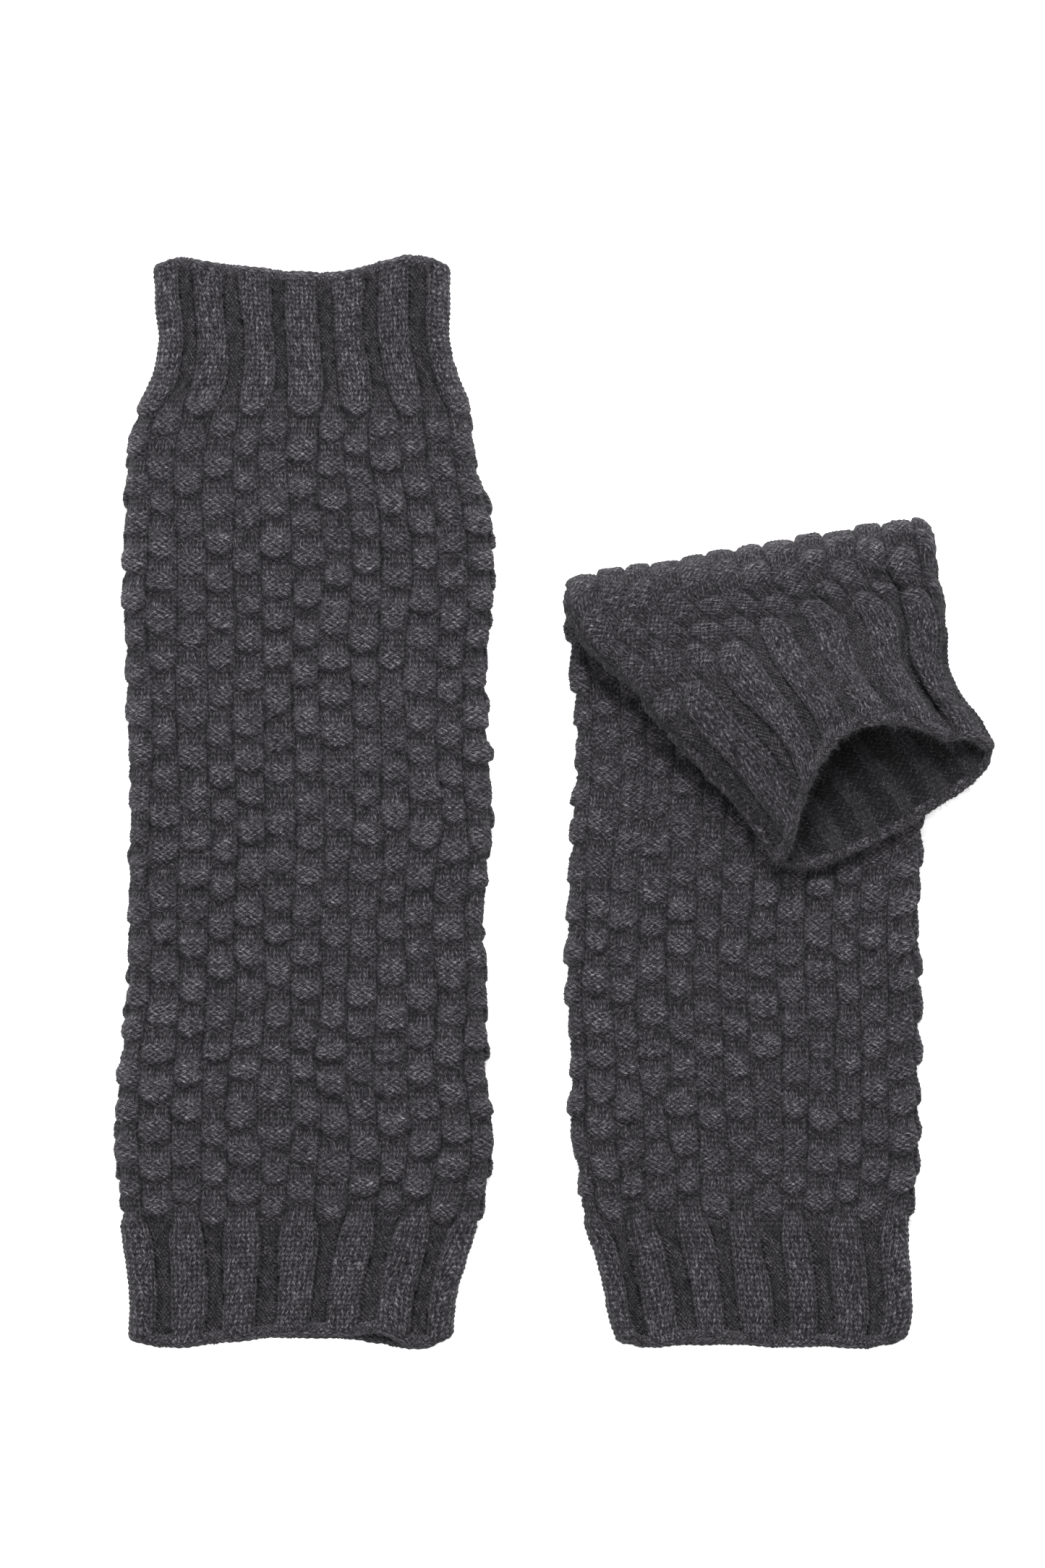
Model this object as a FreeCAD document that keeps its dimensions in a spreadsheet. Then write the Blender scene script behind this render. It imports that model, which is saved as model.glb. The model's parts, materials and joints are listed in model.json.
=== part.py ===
"""A pair of knitted fingerless gloves, lying side by side.

Each glove is one flattened knitted tube: a ribbed cuff at the hand, a long bobble-knit sleeve, a ribbed
cuff at the arm, a rolled cast-on hem at each mouth, and a linked seam inside one side. The left glove
lies straight. The right glove is folded over itself along a slanted line, so its hand end lies on top
of its sleeve with the hand mouth open.

Frame: millimetres, +Z up, +Y from the arm end to the hand end, origin at the bottom centre of the pair.
Every tube is a loft through stadium-shaped sections. A section is a straight bottom and top joined by
two half-round sides. It is placed by its bottom centre, turned about Z and leaned back from vertical.
"""
import FreeCAD, Part
import math
import os
import Sketcher
from FreeCAD import Vector

# Sizes that more than one section shares.
SHARED = {
    "wall": 2.6,                # one knitted layer
    "sleeve_height": 12.6,      # flattened bobble-knit sleeve, both layers
    "cuff_height": 11.0,        # flattened rib
    "hem_height": 12.0,         # flattened rolled edge
    "folded_height": 10.6,      # right sleeve, pressed by the flap that lies on it
    "pressed_flat": 0.2,        # how much of the underside the table flattens
    "hem_length": 4.5,          # rolled edge, along the glove
    "half_length": 151.0,       # half of the whole length
    "body_gap": 0.4,            # between a sleeve and the flap that folds over it
    "seam_width": 2.4,          # linked seam, across the glove
    "seam_height": 2.0,
    "seam_bite": 0.6,           # how far the seam is sewn into the wall
}

# Sections of the left glove: centre across, position along, width.
LEFT = {
    "left_hand_rim": ("-70.2", "half_length", 81.0),
    "left_hand_hem_root": ("-70.2", "half_length - hem_length", 81.0),
    "left_cuff_root": ("-69.8", "113", 87.0),
    "left_shoulder": ("-69.8", "97", 97.0),
    "left_fold_upper": ("-69.2", "69 + body_gap / 2", 102.4),
    "left_fold_lower": ("-69.2", "69 - body_gap / 2", 102.4),
    "left_sleeve_end": ("-70.2", "-98", 104.0),
    "left_arm_cuff_root": ("-71.2", "-118", 98.0),
    "left_arm_cuff_waist": ("-72.4", "-134", 91.0),
    "left_arm_hem_root": ("-73.2", "-half_length + hem_length", 89.4),
    "left_arm_rim": ("-73.4", "-half_length", 89.0),
}

# Sections of the right glove's sleeve, from the fold to the arm.
RIGHT = {
    "right_fold_lower": ("fold_across", "fold_along", 100.5),
    "right_sleeve_end": ("52.0", "-94", 97.4),
    "right_arm_cuff_root": ("52.8", "-115", 90.5),
    "right_arm_cuff_waist": ("55.9", "-134", 85.2),
    "right_arm_hem_root": ("56.9", "-half_length + hem_length", 82.4),
    "right_arm_rim": ("57.0", "-half_length", 82.0),
}

# The slanted fold of the right glove, and the flap that lies on the sleeve.
FOLD = {
    "fold_across": 52.5,
    "fold_along": 63.9,
    "fold_turn": 9.6,
    "flap_turn": 28.5,          # direction of the flap's sections
    "flap_floor": 10.7,         # underside of the flap
    "mouth_across": 95.31,      # middle of the lower lip
    "mouth_along": -9.4,
    "mouth_lean": 36.0,         # the upper lip is drawn back from the lower one
    "cuff_lean": 34.0,
}

# Sections of the flap: share of the way from the fold to the lower lip, width, height, turn and lean.
FLAP = {
    "right_fold_upper": (0.0, 100.5, 10.0, "fold_turn", "0"),
    "right_cuff_root": (0.535, 80.0, 17.0, "flap_turn", "cuff_lean"),
    "right_hand_hem_root": (0.942, 70.0, 28.0, "flap_turn", "mouth_lean"),
    "right_hand_rim": (1.0, 69.0, 29.0, "flap_turn", "mouth_lean"),
}

# Tubes: the node's name and the sections it runs through. Neighbours on one body share a section.
TUBES = {
    "left_hand_hem": ["left_hand_rim", "left_hand_hem_root"],
    "left_hand_cuff": ["left_hand_hem_root", "left_cuff_root"],
    "left_upper_sleeve": ["left_cuff_root", "left_shoulder", "left_fold_upper"],
    "left_lower_sleeve": ["left_fold_lower", "left_sleeve_end", "left_arm_cuff_root"],
    "left_arm_cuff": ["left_arm_cuff_root", "left_arm_cuff_waist", "left_arm_hem_root"],
    "left_arm_hem": ["left_arm_hem_root", "left_arm_rim"],
    "right_hand_hem": ["right_hand_rim", "right_hand_hem_root"],
    "right_hand_cuff": ["right_hand_hem_root", "right_cuff_root"],
    "right_upper_sleeve": ["right_cuff_root", "right_fold_upper"],
    "right_lower_sleeve": ["right_fold_lower", "right_sleeve_end", "right_arm_cuff_root"],
    "right_arm_cuff": ["right_arm_cuff_root", "right_arm_cuff_waist", "right_arm_hem_root"],
    "right_arm_hem": ["right_arm_hem_root", "right_arm_rim"],
}

# Seams: the node's name, the side of the tube it is sewn into, and the sections it runs through.
SEAMS = {
    "left_hand_seam": (1, ["left_hand_hem_root", "left_cuff_root", "left_shoulder", "left_fold_upper"]),
    "left_arm_seam": (1, ["left_fold_lower", "left_sleeve_end", "left_arm_cuff_root",
                          "left_arm_cuff_waist", "left_arm_hem_root"]),
    "right_hand_seam": (-1, ["right_hand_hem_root", "right_cuff_root", "right_fold_upper"]),
    "right_arm_seam": (-1, ["right_fold_lower", "right_sleeve_end", "right_arm_cuff_root",
                            "right_arm_cuff_waist", "right_arm_hem_root"]),
}

SHEET_NAME = "sizes"
SIZE_FIELDS = ("across", "along", "floor", "turn", "lean", "width", "height")

# End points and mid-points of a sketch's curves, and its vertical axis, as Sketcher counts them.
START, END = 1, 2
ORIGIN, VERTICAL_AXIS = -1, -2


def sleeve_section_height(name):
    """Cell that gives a sleeve section's height."""
    if name.endswith(("_rim", "_hem_root")):
        return "hem_height" if name.endswith("_rim") else "cuff_height"
    if "cuff" in name:
        return "cuff_height"
    return "folded_height" if name.startswith("right") else "sleeve_height"


def section_sizes():
    """Every section's placement and size, each as a plain number or an expression of cells."""
    sections = {}
    for name, (across, along, width) in {**LEFT, **RIGHT}.items():
        turn = "fold_turn" if name == "right_fold_lower" else "0"
        height = sleeve_section_height(name)
        sections[name] = dict(across=across, along=along, floor="-pressed_flat", turn=turn, lean="0",
                              width=str(width), height=height)
    for name, (share, width, height, turn, lean) in FLAP.items():
        across = f"fold_across + {share} * ( mouth_across - fold_across )"
        along = f"fold_along + {share} * ( mouth_along - fold_along )"
        sections[name] = dict(across=across, along=along, floor="flap_floor", turn=turn, lean=lean,
                              width=str(width), height=str(height))
    return sections


def make_sheet(doc):
    """Spreadsheet of the driving sizes, then of each section's own sizes."""
    sheet = doc.addObject("Spreadsheet::Sheet", SHEET_NAME)
    cells = {alias: str(value) for alias, value in {**SHARED, **FOLD}.items()}
    driving = set(cells)
    for name, sizes in section_sizes().items():
        for field in SIZE_FIELDS:
            text = sizes[field]
            formula = any(word in text for word in driving)
            cells[f"{name}_{field}"] = "=" + text if formula else text
    for row, (alias, value) in enumerate(cells.items(), start=1):
        sheet.set(f"A{row}", alias)
        sheet.set(f"B{row}", value)
        sheet.setAlias(f"B{row}", alias)
    doc.recompute()
    return sheet


def origin_plane(body, role):
    """One of a body's own origin planes."""
    return next(plane for plane in body.Origin.OriginFeatures if plane.Role == role)


def add_section_sketch(body, label, section):
    """Empty sketch in a section's plane: its X across the glove, its Y up the section."""
    sketch = body.newObject("Sketcher::SketchObject", label)
    sketch.AttachmentSupport = (origin_plane(body, "XZ_Plane"), [""])
    sketch.MapMode = "FlatFace"
    cell = f"{SHEET_NAME}.{section}_"
    place = f"vector({cell}across; {cell}floor; -{cell}along)"
    turn = f"rotation(vector(0; 1; 0); {cell}turn)"
    lean = f"rotation(vector(1; 0; 0); -{cell}lean)"
    sketch.setExpression("AttachmentOffset", f"placement({place}; {turn} * {lean})")
    return sketch


def draw_stadium(sketch, section, inset):
    """Stadium outline of a section, moved inwards by one wall when inset is true."""
    sheet = sketch.Document.getObject(SHEET_NAME)
    half = (getattr(sheet, f"{section}_width") - getattr(sheet, f"{section}_height")) / 2
    radius = getattr(sheet, f"{section}_height") / 2
    turn = math.pi / 2
    right_circle = Part.Circle(Vector(half, radius, 0), Vector(0, 0, 1), radius)
    left_circle = Part.Circle(Vector(-half, radius, 0), Vector(0, 0, 1), radius)
    sketch.addGeometry([
        Part.LineSegment(Vector(-half, 0, 0), Vector(half, 0, 0)),
        Part.ArcOfCircle(right_circle, -turn, turn),
        Part.LineSegment(Vector(half, 2 * radius, 0), Vector(-half, 2 * radius, 0)),
        Part.ArcOfCircle(left_circle, turn, 3 * turn),
    ])
    bottom, right, top, left = range(4)
    for first, second in ((bottom, right), (right, top), (top, left), (left, bottom)):
        sketch.addConstraint(Sketcher.Constraint("Tangent", first, END, second, START))
    sketch.addConstraint(Sketcher.Constraint("Equal", right, left))
    sketch.addConstraint(Sketcher.Constraint("Symmetric", bottom, START, bottom, END, VERTICAL_AXIS))
    cell = f"{SHEET_NAME}.{section}_"
    wall = f"{SHEET_NAME}.wall"
    shrink = f" - 2 * {wall}" if inset else ""
    straight = sketch.addConstraint(Sketcher.Constraint("DistanceX", bottom, START, bottom, END, 2 * half))
    sketch.setExpression(f"Constraints[{straight}]", f"{cell}width - {cell}height")
    round_side = sketch.addConstraint(Sketcher.Constraint("Radius", right, radius))
    sketch.setExpression(f"Constraints[{round_side}]", f"({cell}height{shrink}) / 2")
    if inset:
        rise = sketch.addConstraint(Sketcher.Constraint("DistanceY", ORIGIN, START, bottom, START, 1.0))
        sketch.setExpression(f"Constraints[{rise}]", wall)
    else:
        sketch.addConstraint(Sketcher.Constraint("PointOnObject", bottom, START, ORIGIN))


def draw_seam_rectangle(sketch, section, side):
    """Small rectangle at mid-height, sewn a little way into the inside of one side of the tube."""
    cell = f"{SHEET_NAME}.{section}_"
    size = f"{SHEET_NAME}."
    width, height, near = 2.0, 1.0, 10.0
    corners = [Vector(near, 0, 0), Vector(near + width, 0, 0),
               Vector(near + width, height, 0), Vector(near, height, 0)]
    if side < 0:
        corners = [Vector(-corner.x, corner.y, 0) for corner in corners]
    for first, second in zip(corners, corners[1:] + corners[:1]):
        sketch.addGeometry(Part.LineSegment(first, second))
    for line in range(4):
        sketch.addConstraint(Sketcher.Constraint("Coincident", line, END, (line + 1) % 4, START))
        kind = "Horizontal" if line % 2 == 0 else "Vertical"
        sketch.addConstraint(Sketcher.Constraint(kind, line))
    near_x, far_x = ((0, START), (0, END))
    if side > 0:
        across = sketch.addConstraint(Sketcher.Constraint("DistanceX", 0, START, 0, END, width))
        reach = sketch.addConstraint(Sketcher.Constraint("DistanceX", ORIGIN, START, *far_x, near + width))
    else:
        across = sketch.addConstraint(Sketcher.Constraint("DistanceX", 0, END, 0, START, width))
        reach = sketch.addConstraint(Sketcher.Constraint("DistanceX", *far_x, ORIGIN, START, near + width))
    tall = sketch.addConstraint(Sketcher.Constraint("DistanceY", 1, START, 1, END, height))
    rise = sketch.addConstraint(Sketcher.Constraint("DistanceY", ORIGIN, START, *near_x, 1.0))
    sketch.setExpression(f"Constraints[{across}]", f"{size}seam_width")
    sketch.setExpression(f"Constraints[{reach}]", f"{cell}width / 2 - {size}wall + {size}seam_bite")
    sketch.setExpression(f"Constraints[{tall}]", f"{size}seam_height")
    sketch.setExpression(f"Constraints[{rise}]", f"({cell}height - {size}seam_height) / 2")


def add_loft(doc, body, kind, label, sketches):
    """Straight-ruled loft through the sketches."""
    loft = body.newObject(f"PartDesign::{kind}Loft", label)
    loft.Profile = sketches[0]
    loft.Sections = sketches[1:]
    loft.Ruled = True
    for sketch in sketches:
        sketch.Visibility = False
    doc.recompute()
    return loft


def flatten_underside(doc, body):
    """Cut a tube off flat where it lies on the table, which leaves a plane face at height 0."""
    block = body.newObject("PartDesign::SubtractiveBox", f"{body.Label}_underside")
    block.AttachmentSupport = (origin_plane(body, "XY_Plane"), [""])
    block.MapMode = "FlatFace"
    size = f"{SHEET_NAME}."
    block.setExpression("Length", f"4 * {size}half_length")
    block.setExpression("Width", f"4 * {size}half_length")
    block.setExpression("Height", f"2 * {size}pressed_flat")
    corner = f"vector(-2 * {size}half_length; -2 * {size}half_length; -2 * {size}pressed_flat)"
    block.setExpression("AttachmentOffset", f"placement({corner}; rotation(vector(0; 0; 1); 0))")
    doc.recompute()


def make_tube(doc, name, sections):
    """Open-ended knitted tube through its sections, one wall thick."""
    body = doc.addObject("PartDesign::Body", name)
    body.Label = name
    outer, inner = [], []
    for section in sections:
        sketch = add_section_sketch(body, f"{name}_outer_{section}", section)
        draw_stadium(sketch, section, inset=False)
        outer.append(sketch)
    add_loft(doc, body, "Additive", f"{name}_outside", outer)
    solid_volume = body.Shape.Volume
    for section in sections:
        sketch = add_section_sketch(body, f"{name}_inner_{section}", section)
        draw_stadium(sketch, section, inset=True)
        inner.append(sketch)
    add_loft(doc, body, "Subtractive", f"{name}_passage", inner)
    if body.Shape.Volume > 0.9 * solid_volume:
        raise RuntimeError(f"{name}: the passage cut nothing")
    if not any(section in FLAP for section in sections):
        flatten_underside(doc, body)
    return body


def make_seam(doc, name, side, sections):
    """Linked seam along the inside of one side of a tube."""
    body = doc.addObject("PartDesign::Body", name)
    body.Label = name
    sketches = []
    for section in sections:
        sketch = add_section_sketch(body, f"{name}_{section}", section)
        draw_seam_rectangle(sketch, section, side)
        sketches.append(sketch)
    add_loft(doc, body, "Additive", f"{name}_strip", sketches)
    return body


def check_document(doc, bodies):
    """Stop on any failed object or bad shape."""
    for item in doc.Objects:
        if "Invalid" in item.State or "Error" in item.State:
            raise RuntimeError(f"{item.Name} did not compute: {item.State}")
    for body in bodies:
        shape = body.Shape
        if shape.isNull() or not shape.isValid() or len(shape.Solids) != 1:
            raise RuntimeError(f"{body.Label} is not one valid solid")


def main():
    doc = FreeCAD.newDocument("fingerless_gloves")
    make_sheet(doc)
    bodies = [make_tube(doc, name, sections) for name, sections in TUBES.items()]
    bodies += [make_seam(doc, name, side, sections) for name, (side, sections) in SEAMS.items()]
    doc.recompute()
    check_document(doc, bodies)
    os.makedirs("parts", exist_ok=True)
    whole = FreeCAD.BoundBox()
    for body in bodies:
        body.Shape.exportStep(os.path.join("parts", body.Label + ".step"))
        whole.add(body.Shape.optimalBoundingBox())
        print(f"{body.Label}: {body.Shape.Volume / 1000:.2f} cm3")
    print("box", [round(v, 2) for v in (whole.XMin, whole.XMax, whole.YMin, whole.YMax,
                                        whole.ZMin, whole.ZMax)])


main()
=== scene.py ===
"""A pair of charcoal wool fingerless gloves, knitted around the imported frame.

Each glove is a tube of wales (columns of stitches, round the arm) and courses (rows of stitches, along
the arm). A glove's base surface gives every wale and course its place in space, and the knit's relief
(ribs, bobbles and single stitches) stands on that surface. Lengths are in millimetres until a mesh is
made. "along" is always the distance from the hand rim, measured on the fabric.
"""
import json
import math

import bpy
import numpy as np
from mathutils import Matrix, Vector


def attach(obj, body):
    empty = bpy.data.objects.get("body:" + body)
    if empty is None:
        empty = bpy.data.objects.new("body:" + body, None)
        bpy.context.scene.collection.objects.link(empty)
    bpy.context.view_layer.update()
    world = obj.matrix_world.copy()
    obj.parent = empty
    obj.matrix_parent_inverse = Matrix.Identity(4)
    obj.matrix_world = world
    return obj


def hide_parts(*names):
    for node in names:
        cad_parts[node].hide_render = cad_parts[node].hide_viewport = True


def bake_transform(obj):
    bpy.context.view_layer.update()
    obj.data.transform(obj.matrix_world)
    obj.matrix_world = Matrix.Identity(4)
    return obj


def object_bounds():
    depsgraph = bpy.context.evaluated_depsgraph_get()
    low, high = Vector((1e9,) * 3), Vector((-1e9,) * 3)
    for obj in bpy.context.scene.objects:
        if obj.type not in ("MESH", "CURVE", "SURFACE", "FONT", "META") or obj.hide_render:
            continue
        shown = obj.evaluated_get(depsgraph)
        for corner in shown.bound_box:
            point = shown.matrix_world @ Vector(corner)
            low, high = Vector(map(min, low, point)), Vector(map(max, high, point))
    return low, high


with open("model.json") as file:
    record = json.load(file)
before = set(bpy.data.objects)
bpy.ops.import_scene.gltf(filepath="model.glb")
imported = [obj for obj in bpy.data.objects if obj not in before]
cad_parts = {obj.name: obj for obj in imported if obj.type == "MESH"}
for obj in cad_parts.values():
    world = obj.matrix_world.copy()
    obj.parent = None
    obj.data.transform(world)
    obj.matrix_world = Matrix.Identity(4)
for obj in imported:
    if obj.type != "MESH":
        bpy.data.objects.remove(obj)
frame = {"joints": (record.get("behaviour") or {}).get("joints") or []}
cad_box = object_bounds()

MM = 0.001

# ---------------------------------------------------------------- knit sizes
WALES = 104                 # stitches round the tube
RIB_REPEAT = 8              # four knit wales and four purl wales
COLUMN = 4                  # wales in one column of bobbles
COURSE = 1.5                # one row of stitches
BOBBLE_PITCH = 10.8         # from one bobble to the next in its column
BOBBLE_HEIGHT = 1.9
FIRST_BOBBLE = 8.5          # from the end of the hand cuff to the first bobbles
RIB_HEIGHT = 1.5
GROOVE_DEPTH = 0.80
GROOVE_SHADE_EASE = 0.48          # painted shade: the middle of a groove is painted less dark than its sides
RIB_CROWDING = 0.70         # how far, in wales, a cuff's stitches move out from the middle of a rib
PER_WALE = 4
PER_COURSE = 4
COLUMNS = WALES * PER_WALE

LENGTH = (cad_box[1].y - cad_box[0].y) / MM
HALF = LENGTH / 2
HAND_CUFF = 37.0            # along, where the hand cuff ends
ARM_CUFF = 268.0            # along, where the arm cuff starts
HEM = 4.6                   # rolled edge
LAYER = 2.5                 # thickness of one knitted layer
TABLE = 0.05                # lowest point, just above the surface the gloves lie on


# ---------------------------------------------------------------- small maths
def smoothstep(x, low, high):
    """Rises smoothly from 0 at low to 1 at high."""
    t = np.clip((x - low) / (high - low), 0, 1)
    return t * t * (3 - 2 * t)


def through(points, x):
    """Smooth curve through points given as (x, value), with x rising."""
    px, py = np.array(points, float).T
    slope = np.gradient(py, px)
    i = np.clip(np.searchsorted(px, x) - 1, 0, len(px) - 2)
    span = px[i + 1] - px[i]
    t = np.clip((x - px[i]) / span, 0, 1)
    rise = py[i] * (2 * t**3 - 3 * t**2 + 1) + py[i + 1] * (3 * t**2 - 2 * t**3)
    lean = slope[i] * (t**3 - 2 * t**2 + t) + slope[i + 1] * (t**3 - t**2)
    return rise + lean * span


def path_through(points, t):
    """Smooth path through 2-D points, at the shares t of its length."""
    points = np.array(points, float)
    reach = np.concatenate([[0], np.cumsum(np.linalg.norm(np.diff(points, axis=0), axis=1))])
    reach /= reach[-1]
    return np.stack([through(np.column_stack([reach, points[:, k]]), t) for k in (0, 1)], axis=-1)


def value_noise(seed, x, y, cell_x, cell_y, wrap_x=None):
    """Smooth random field from -1 to 1. wrap_x is how many cells go round before it repeats."""
    rows, cols = 97, wrap_x or 89
    grid = np.random.default_rng(seed).uniform(-1, 1, (rows, cols))
    gx, gy = x / cell_x, y / cell_y + 7
    ix, iy = np.floor(gx).astype(int), np.floor(gy).astype(int)
    fx, fy = gx - ix, gy - iy
    fx, fy = fx * fx * (3 - 2 * fx), fy * fy * (3 - 2 * fy)
    a = grid[iy % rows, ix % cols] * (1 - fx) + grid[iy % rows, (ix + 1) % cols] * fx
    b = grid[(iy + 1) % rows, ix % cols] * (1 - fx) + grid[(iy + 1) % rows, (ix + 1) % cols] * fx
    return a * (1 - fy) + b * fy


def stadium(turn, width, height):
    """Point at a share of the way round a stadium, from its left end over its top: across and up."""
    radius = height / 2
    straight = width - height
    quarter = math.pi * radius / 2
    d = (turn % 1) * (2 * straight + 4 * quarter)
    over, right, under = quarter, quarter + straight, 3 * quarter + straight
    back = under + straight
    parts = [d < over, d < right, d < under, d < back]
    first = math.pi - d / radius
    second = math.pi / 2 - (d - right) / radius
    last = -math.pi / 2 - (d - back) / radius
    across = np.select(parts, [
        -straight / 2 + radius * np.cos(first), -straight / 2 + d - over,
        straight / 2 + radius * np.cos(second), straight / 2 - (d - under),
    ], -straight / 2 + radius * np.cos(last))
    up = np.select(parts, [
        radius * np.sin(first), radius + 0 * d, radius * np.sin(second), -radius + 0 * d,
    ], radius * np.sin(last))
    return across, up


# ---------------------------------------------------------------- relief of the knit
def in_cuffs(along):
    """One in either cuff, nothing in the sleeve."""
    in_hand_cuff = 1 - smoothstep(along, HAND_CUFF - 2, HAND_CUFF + 10)
    in_arm_cuff = smoothstep(along, ARM_CUFF - 4, ARM_CUFF + 6)
    return np.maximum(in_hand_cuff, in_arm_cuff)


def rib_squeeze(wale, along, first_rib=0):
    """Wales of a cuff crowd together in the purl grooves and spread on the knit ribs."""
    return wale - RIB_CROWDING * in_cuffs(along) * np.cos(2 * math.pi * (wale + first_rib) / RIB_REPEAT)


def knit_relief(wale, along, seed):
    """Height of the ribs and bobbles, height of the single stitches, share of purl, and the grooves."""
    drift = 0.54 * value_noise(seed, wale, along, 4, 17, WALES // 4)
    place = (wale + drift) / COLUMN
    column = np.floor(place).astype(int) % (WALES // COLUMN)
    a = 2 * (place - np.floor(place)) - 1
    odd = column % 2 == 1

    slip = 0.25 * value_noise(seed + 1, column * 4.0 + 1.3, along, 4, 12)
    first_edge = HAND_CUFF + FIRST_BOBBLE
    m = (along - first_edge) / BOBBLE_PITCH - 0.5 * odd + slip
    n = np.ceil(m)
    c = 1 - (n - m)
    size = np.random.default_rng(seed + 2).uniform(0.50, 1.16, (WALES // COLUMN, 64))
    lump = size[column, np.clip(n, 0, 63).astype(int)]

    dome = np.clip(1 - np.abs(a) ** 4.5, 0, 1) ** 0.55
    lower_edge = 0.98 - 0.17 * a * a
    bobble = smoothstep(c, 0.04 + 0.10 * a * a, 0.56)
    bobble = bobble * (1 - smoothstep(c, lower_edge - 0.14, lower_edge))
    rows = round((ARM_CUFF - first_edge) / BOBBLE_PITCH - 0.5)
    body = (n >= np.where(odd, 0, 1)) & (n <= rows)
    patchy = 0.92 + 0.20 * value_noise(seed + 6, wale, along, 13, 37, 8)
    bobble = np.where(body, bobble * lump * patchy, 0)

    rib_end = first_edge - 3.4 * a * a
    hand_rib = 1 - smoothstep(along, rib_end - 1.5, rib_end)
    hand_rib = hand_rib * (1 + 0.25 * smoothstep(along, first_edge - 8, first_edge - 2))
    arm_rib = smoothstep(along, ARM_CUFF - 5 + 2 * a * a, ARM_CUFF + 2 * a * a)
    rib = np.where(odd, 0, np.maximum(hand_rib, arm_rib))
    groove = np.where(odd, np.maximum(1 - smoothstep(along, HAND_CUFF - 1, HAND_CUFF + 5),
                                      smoothstep(along, ARM_CUFF - 1, ARM_CUFF + 5)), 0)
    flat_rib = np.clip(1 - np.abs(a) ** 2.6, 0, 1) ** 0.55
    large = BOBBLE_HEIGHT * dome * bobble + RIB_HEIGHT * flat_rib * rib
    gap = np.exp(-((1 - np.abs(a)) / 0.12) ** 2)
    large = large - GROOVE_DEPTH * groove - (0.35 * (1 - dome) + 0.45 * gap) * (1 - rib)
    large = large + 0.36 * value_noise(seed + 5, wale, along, 1.3, 2.4) * (1 - 0.6 * rib)
    on_bobble = smoothstep(c, 0.26, 0.40) * body
    tongue = smoothstep(along, first_edge - 6, first_edge - 3) * (along < first_edge + 1)
    purl = np.clip(np.maximum(on_bobble * dome, groove) - 1.5 * rib, tongue * rib, 1)

    w = wale - np.floor(wale) - 0.5
    leg = 1 - np.abs(np.abs(w) - 0.25) / 0.25
    chevron = np.cos(2 * math.pi * (along / COURSE + 0.9 * np.abs(w)))
    knit_stitch = 0.30 * leg + 0.14 * chevron * leg
    row = np.cos(2 * math.pi * along / COURSE)
    beside = 0.5 + 0.5 * np.cos(2 * math.pi * w)
    purl_stitch = (0.32 + 0.34 * groove) * np.maximum(row * beside, -row * (1 - beside))
    uneven = 1 + 0.4 * value_noise(seed + 3, wale, along, 1.5, 2.2)
    fine = (knit_stitch * (1 - purl) + purl_stitch * purl) * uneven
    return large, fine, purl, groove


# ---------------------------------------------------------------- left glove, lying flat
# Outline of the sleeve and cuffs: along, left edge, right edge.
LEFT_OUTLINE = [
    (0, -111.2, -29.6), (12, -110.6, -29.8), (24, -109.6, -29.8), (34, -111.4, -27.2),
    (43, -115.6, -24.0), (54, -118.6, -22.4), (70, -119.5, -18.6), (90, -119.9, -17.4),
    (112, -119.2, -19.2), (140, -118.4, -18.4), (160, -118.2, -17.6), (181, -118.5, -19.6),
    (205, -119.1, -18.9), (226, -120.8, -19.0), (246, -122.0, -17.2), (262, -120.9, -19.9),
    (276, -118.9, -24.2), (288, -117.9, -27.4), (302, -118.0, -28.8),
]
# How far the rims dip inwards: share of the way across from the left edge, dip.
LEFT_HAND_DIP = [(0, 2.2), (0.05, 0.9), (0.16, 1.6), (0.34, 3.5), (0.5, 4.9), (0.63, 4.7), (0.78, 1.7),
                 (0.88, -0.1), (0.96, 0.9), (1, 2.6)]
LEFT_HAND_DIP_UNDER = [(0, 2.2), (0.5, 5.6), (1, 2.6)]
LEFT_ARM_DIP = [(0, 2.2), (0.06, 0.9), (0.33, 2.3), (0.5, 3.9), (0.7, 3.9), (0.79, 4.4), (0.86, 1.2),
                (0.93, 0.4), (1, 3.0)]
LEFT_ARM_DIP_UNDER = [(0, 2.2), (0.08, 1.2), (0.45, 3.0), (0.72, 2.2), (0.86, 0.1), (0.93, -0.2), (1, 3.0)]
DIP_REACH = 45.0            # how far in from a rim its dips fade away
LEFT_SLEEVE_HEIGHT = 9.2
LEFT_CUFF_HEIGHT = 8.2
SILHOUETTE_INSET = 1.1      # bobbles and fuzz stand this far beyond the base surface


def sag(seed, x, y, amount):
    """Slow unevenness of cloth that lies by itself."""
    return amount * value_noise(seed, x, y, 34, 41)


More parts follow.
